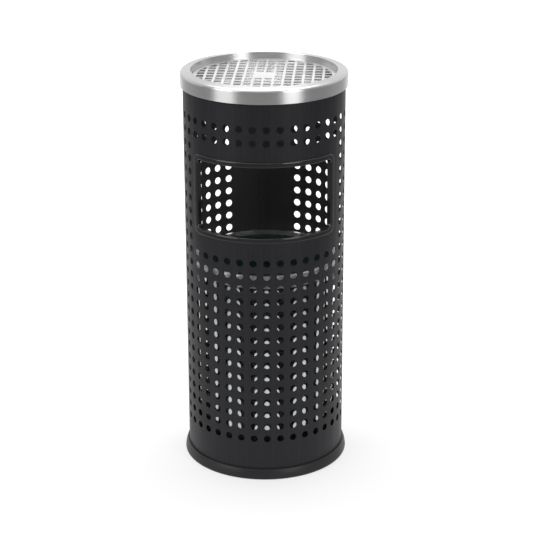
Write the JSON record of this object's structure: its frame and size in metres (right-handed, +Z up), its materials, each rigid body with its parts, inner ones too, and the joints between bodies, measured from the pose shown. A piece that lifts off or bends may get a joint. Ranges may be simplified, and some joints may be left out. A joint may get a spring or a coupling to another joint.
{
  "type": "ashtray bin",
  "caption": "Tall round perforated steel litter bin with a litter window in front, a lift-off ashtray with a grid on top, and a loose inner bucket.",
  "frame": {"origin": "on the floor, on the axis of the cylinder", "axes": "+Z up along the axis, front with the litter window towards -Y, +X to the right seen from the front"},
  "size_m": [0.2564, 0.2564, 0.6199],
  "materials": {
    "powder_coated_sheet": "fine matt powder coat, near-black",
    "base_plastic": "moulded, satin",
    "bezel_plastic": "moulded, glossy",
    "zinc_screws": "zinc plated",
    "brushed_stainless": "brushed round the ring",
    "pressed_stainless": "bright pressed",
    "grid_stainless": "punched, bright",
    "galvanised_sheet": "bright galvanised",
    "steel_wire": "drawn, zinc plated",
    "rivet_steel": "plain"
  },
  "bodies": {
    "bin": {"body_shell": "powder_coated_sheet", "base_ring": "base_plastic", "base_screws": "zinc_screws", "floor_plate": "powder_coated_sheet", "window_bezel": "bezel_plastic", "window_backing_frame": "bezel_plastic", "top_edging": "base_plastic"},
    "ashtray": {"ashtray_rim": "brushed_stainless", "ash_bowl": "pressed_stainless"},
    "grid": {"ash_grid": "grid_stainless"},
    "bucket": {"bucket_wall": "galvanised_sheet", "bucket_floor": "galvanised_sheet", "bucket_collar": "galvanised_sheet", "bucket_bead_wire": "steel_wire", "lug_right": "galvanised_sheet", "lug_left": "galvanised_sheet", "lug_rivets": "rivet_steel"},
    "bail": {"bail_handle": "steel_wire"}
  },
  "joints": [
    {"name": "bucket_lift", "type": "slide", "parent": "bin", "child": "bucket", "axis": [0, 0, 1], "range_m": [0, 0.62]},
    {"name": "ashtray_lift", "type": "slide", "parent": "bin", "child": "ashtray", "axis": [0, 0, 1], "range_m": [0, 0.62]},
    {"name": "grid_lift", "type": "slide", "parent": "ashtray", "child": "grid", "axis": [0, 0, 1], "range_m": [0, 0.06]},
    {"name": "bail_swing", "type": "hinge", "parent": "bucket", "child": "bail", "pos_m": [0.0013, 0.0013, 0.298], "axis": [1, 0, 0], "range_deg": [0, 224]}
  ],
  "couplings": [
    {"joint": "ashtray_lift", "follows": "bucket_lift", "ratio": 1}
  ]
}
